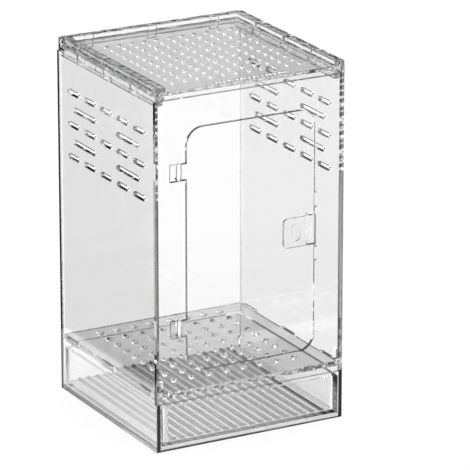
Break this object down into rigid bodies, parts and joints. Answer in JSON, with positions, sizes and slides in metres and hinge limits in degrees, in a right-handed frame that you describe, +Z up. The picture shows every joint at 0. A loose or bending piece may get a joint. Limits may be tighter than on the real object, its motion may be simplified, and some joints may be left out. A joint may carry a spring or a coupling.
{
  "type": "plastic pet keeper",
  "caption": "Tall clear keeper for small pets with a hinged front door, a perforated sliding lid, a perforated false floor and a drawer below.",
  "frame": {"origin": "on the table, under the middle of the keeper's overall box", "axes": "+Z up; -Y is the front with the door; +X is to the right seen from the front"},
  "size_m": [0.1, 0.1036, 0.178],
  "materials": {
    "panel_plastic": "clear, polished",
    "floor_plastic": "clear, moulded",
    "frame_plastic": "clear, moulded",
    "door_plastic": "clear, polished",
    "lid_plastic": "clear, moulded",
    "drawer_plastic": "clear, moulded"
  },
  "bodies": {
    "case": {"side_panel_left": "panel_plastic", "side_panel_right": "panel_plastic", "back_panel": "panel_plastic", "front_panel": "panel_plastic", "base_plate": "panel_plastic", "false_floor": "floor_plastic", "top_frame": "frame_plastic"},
    "door": {"front_door": "door_plastic"},
    "lid": {"sliding_lid": "lid_plastic"},
    "drawer_body": {"drawer": "drawer_plastic"}
  },
  "joints": [
    {"name": "door_hinge", "type": "hinge", "parent": "case", "child": "door", "pos_m": [-0.0372, -0.04685, 0.098], "axis": [0, 0, -1], "range_deg": [0, 120]},
    {"name": "lid_slide", "type": "slide", "parent": "case", "child": "lid", "axis": [0, -1, 0], "range_m": [0, 0.09]},
    {"name": "drawer_slide", "type": "slide", "parent": "case", "child": "drawer_body", "axis": [0, -1, 0], "range_m": [0, 0.09]}
  ]
}
